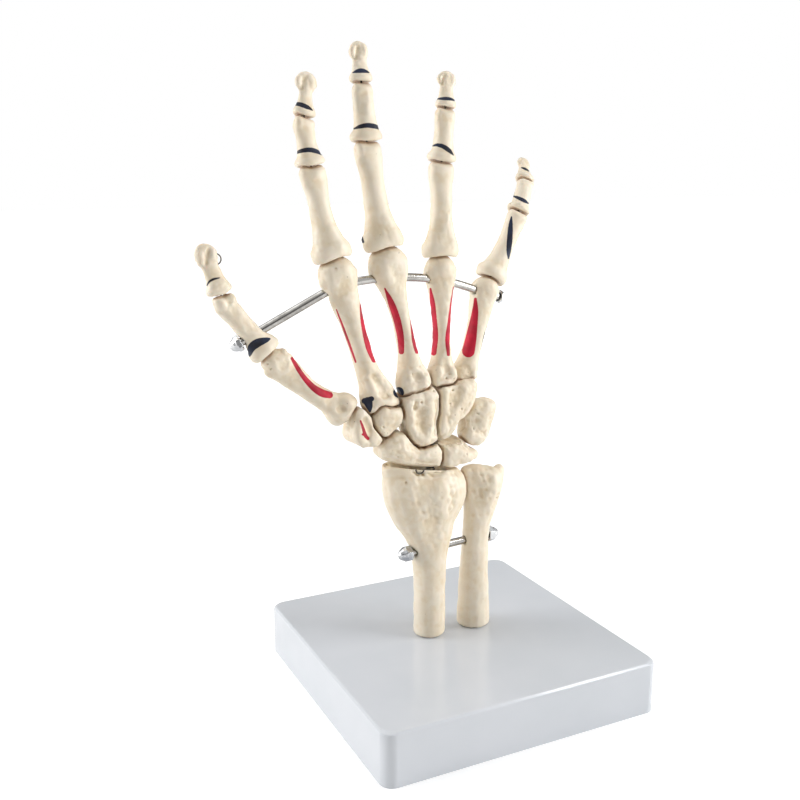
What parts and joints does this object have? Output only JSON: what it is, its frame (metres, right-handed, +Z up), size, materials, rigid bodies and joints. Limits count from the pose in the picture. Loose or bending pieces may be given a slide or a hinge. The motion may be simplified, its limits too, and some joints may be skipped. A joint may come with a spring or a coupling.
{
  "type": "anatomical hand model",
  "caption": "Life-size skeleton of a right hand with painted muscle marks, strung on wire and rods and standing on its forearm bones on a square plastic base.",
  "frame": {"origin": "centre of the base's underside", "axes": "+Z up along the fingers, -Y towards the back of the hand and the viewer, -X towards the thumb"},
  "size_m": [0.1857, 0.14, 0.2985],
  "materials": {
    "bone_plastic": "cream cast plastic, half matt, with painted red and dark blue muscle marks",
    "base_plastic": "pale grey moulded plastic, glossy",
    "cover_plastic": "grey plastic sheet, matt",
    "rod_steel": "bare drawn steel rod",
    "polished_nut": "bright plated cap nuts",
    "screw_steel": "zinc plated screws",
    "wire_steel": "dark steel spring wire"
  },
  "bodies": {
    "stand": {"radius": "bone_plastic", "ulna": "bone_plastic", "forearm_rod": "rod_steel", "forearm_nut_left": "polished_nut", "forearm_nut_right": "polished_nut", "wrist_hook": "wire_steel", "base_shell": "base_plastic", "base_cover": "cover_plastic", "cover_screw_front_left": "screw_steel", "cover_screw_front_right": "screw_steel", "cover_screw_rear_left": "screw_steel", "cover_screw_rear_right": "screw_steel", "radius_screw": "screw_steel", "ulna_screw": "screw_steel"},
    "wrist_core": {"wrist_spring": "wire_steel"},
    "hand": {"trapezium": "bone_plastic", "trapezoid": "bone_plastic", "capitate": "bone_plastic", "hamate": "bone_plastic", "scaphoid": "bone_plastic", "lunate": "bone_plastic", "triquetrum": "bone_plastic", "pisiform": "bone_plastic", "thumb_metacarpal": "bone_plastic", "thumb_proximal": "bone_plastic", "index_metacarpal": "bone_plastic", "middle_metacarpal": "bone_plastic", "ring_metacarpal": "bone_plastic", "little_metacarpal": "bone_plastic", "knuckle_rod": "rod_steel", "knuckle_nut_thumb": "polished_nut", "knuckle_nut_little": "polished_nut"},
    "thumb_distal": {"thumb_distal_wire": "wire_steel", "thumb_wire_loop": "wire_steel", "thumb_distal": "bone_plastic"},
    "index_proximal": {"index_proximal_wire": "wire_steel", "index_proximal": "bone_plastic"},
    "index_middle": {"index_middle_wire": "wire_steel", "index_middle": "bone_plastic"},
    "index_distal": {"index_distal_wire": "wire_steel", "index_distal": "bone_plastic"},
    "middle_proximal": {"middle_proximal_wire": "wire_steel", "middle_proximal": "bone_plastic"},
    "middle_middle": {"middle_middle_wire": "wire_steel", "middle_middle": "bone_plastic"},
    "middle_distal": {"middle_distal_wire": "wire_steel", "middle_distal": "bone_plastic"},
    "ring_proximal": {"ring_proximal_wire": "wire_steel", "ring_proximal": "bone_plastic"},
    "ring_middle": {"ring_middle_wire": "wire_steel", "ring_middle": "bone_plastic"},
    "ring_distal": {"ring_distal_wire": "wire_steel", "ring_distal": "bone_plastic"},
    "little_proximal": {"little_proximal_wire": "wire_steel", "little_proximal": "bone_plastic"},
    "little_middle": {"little_middle_wire": "wire_steel", "little_middle": "bone_plastic"},
    "little_distal": {"little_distal_wire": "wire_steel", "little_distal": "bone_plastic"}
  },
  "joints": [
    {"name": "wrist_deviation", "type": "hinge", "parent": "stand", "child": "wrist_core", "pos_m": [-0.012, 0.004, 0.1255], "axis": [0, 1, 0], "range_deg": [-8, 8], "stiffness_Nm_per_rad": 0.8, "deforming": ["wrist_spring"]},
    {"name": "wrist_flexion", "type": "hinge", "parent": "wrist_core", "child": "hand", "pos_m": [-0.012, 0.004, 0.1255], "axis": [-0.9903, 0, 0.1392], "range_deg": [-20, 20], "stiffness_Nm_per_rad": 0.8, "deforming": ["wrist_spring"]},
    {"name": "thumb_end_joint", "type": "hinge", "parent": "hand", "child": "thumb_distal", "pos_m": [-0.10509, 0.00978, 0.19166], "axis": [-0.9563, 0, -0.2924], "range_deg": [-5, 65], "deforming": ["thumb_distal_wire"]},
    {"name": "index_knuckle", "type": "hinge", "parent": "hand", "child": "index_proximal", "pos_m": [-0.05679, 0.0039, 0.20285], "axis": [-0.9696, -0.1045, -0.2211], "range_deg": [-20, 75], "deforming": ["index_proximal_wire"]},
    {"name": "index_middle_joint", "type": "hinge", "parent": "index_proximal", "child": "index_middle", "pos_m": [-0.0661, 0.00499, 0.24318], "axis": [-0.9864, -0.104, -0.1276], "range_deg": [-5, 85], "deforming": ["index_middle_wire"]},
    {"name": "index_end_joint", "type": "hinge", "parent": "index_middle", "child": "index_distal", "pos_m": [-0.06902, 0.00719, 0.26396], "axis": [-0.9739, -0.1022, 0.2026], "range_deg": [-5, 60], "deforming": ["index_distal_wire"]},
    {"name": "middle_knuckle", "type": "hinge", "parent": "hand", "child": "middle_proximal", "pos_m": [-0.03296, 0.00356, 0.20633], "axis": [-0.9854, 0, -0.1702], "range_deg": [-20, 75], "deforming": ["middle_proximal_wire"]},
    {"name": "middle_middle_joint", "type": "hinge", "parent": "middle_proximal", "child": "middle_middle", "pos_m": [-0.04102, 0.0048, 0.25303], "axis": [-0.999, 0, -0.0454], "range_deg": [-5, 85], "deforming": ["middle_middle_wire"]},
    {"name": "middle_end_joint", "type": "hinge", "parent": "middle_middle", "child": "middle_distal", "pos_m": [-0.04217, 0.00746, 0.27826], "axis": [-1, 0, 0.0087], "range_deg": [-5, 60], "deforming": ["middle_distal_wire"]},
    {"name": "ring_knuckle", "type": "hinge", "parent": "hand", "child": "ring_proximal", "pos_m": [-0.00563, 0.005, 0.20199], "axis": [-0.9961, 0.0871, 0.0151], "range_deg": [-20, 75], "deforming": ["ring_proximal_wire"]},
    {"name": "ring_middle_joint", "type": "hinge", "parent": "ring_proximal", "child": "ring_middle", "pos_m": [-0.00488, 0.00612, 0.24487], "axis": [-0.9886, 0.0867, 0.1227], "range_deg": [-5, 85], "deforming": ["ring_middle_wire"]},
    {"name": "ring_end_joint", "type": "hinge", "parent": "ring_middle", "child": "ring_distal", "pos_m": [-0.00167, 0.00867, 0.26892], "axis": [-0.9842, 0.0853, 0.1551], "range_deg": [-5, 60], "deforming": ["ring_distal_wire"]},
    {"name": "little_knuckle", "type": "hinge", "parent": "hand", "child": "little_proximal", "pos_m": [0.02034, 0.00834, 0.19099], "axis": [-0.8562, 0.2071, 0.4734], "range_deg": [-20, 75], "deforming": ["little_proximal_wire"]},
    {"name": "little_middle_joint", "type": "hinge", "parent": "little_proximal", "child": "little_middle", "pos_m": [0.03877, 0.01156, 0.22291], "axis": [-0.8785, 0.1928, 0.437], "range_deg": [-15, 70], "deforming": ["little_middle_wire"]},
    {"name": "little_end_joint", "type": "hinge", "parent": "little_middle", "child": "little_distal", "pos_m": [0.04798, 0.01879, 0.23825], "axis": [-0.923, 0.1545, 0.3525], "range_deg": [-18, 45], "deforming": ["little_distal_wire"]}
  ]
}
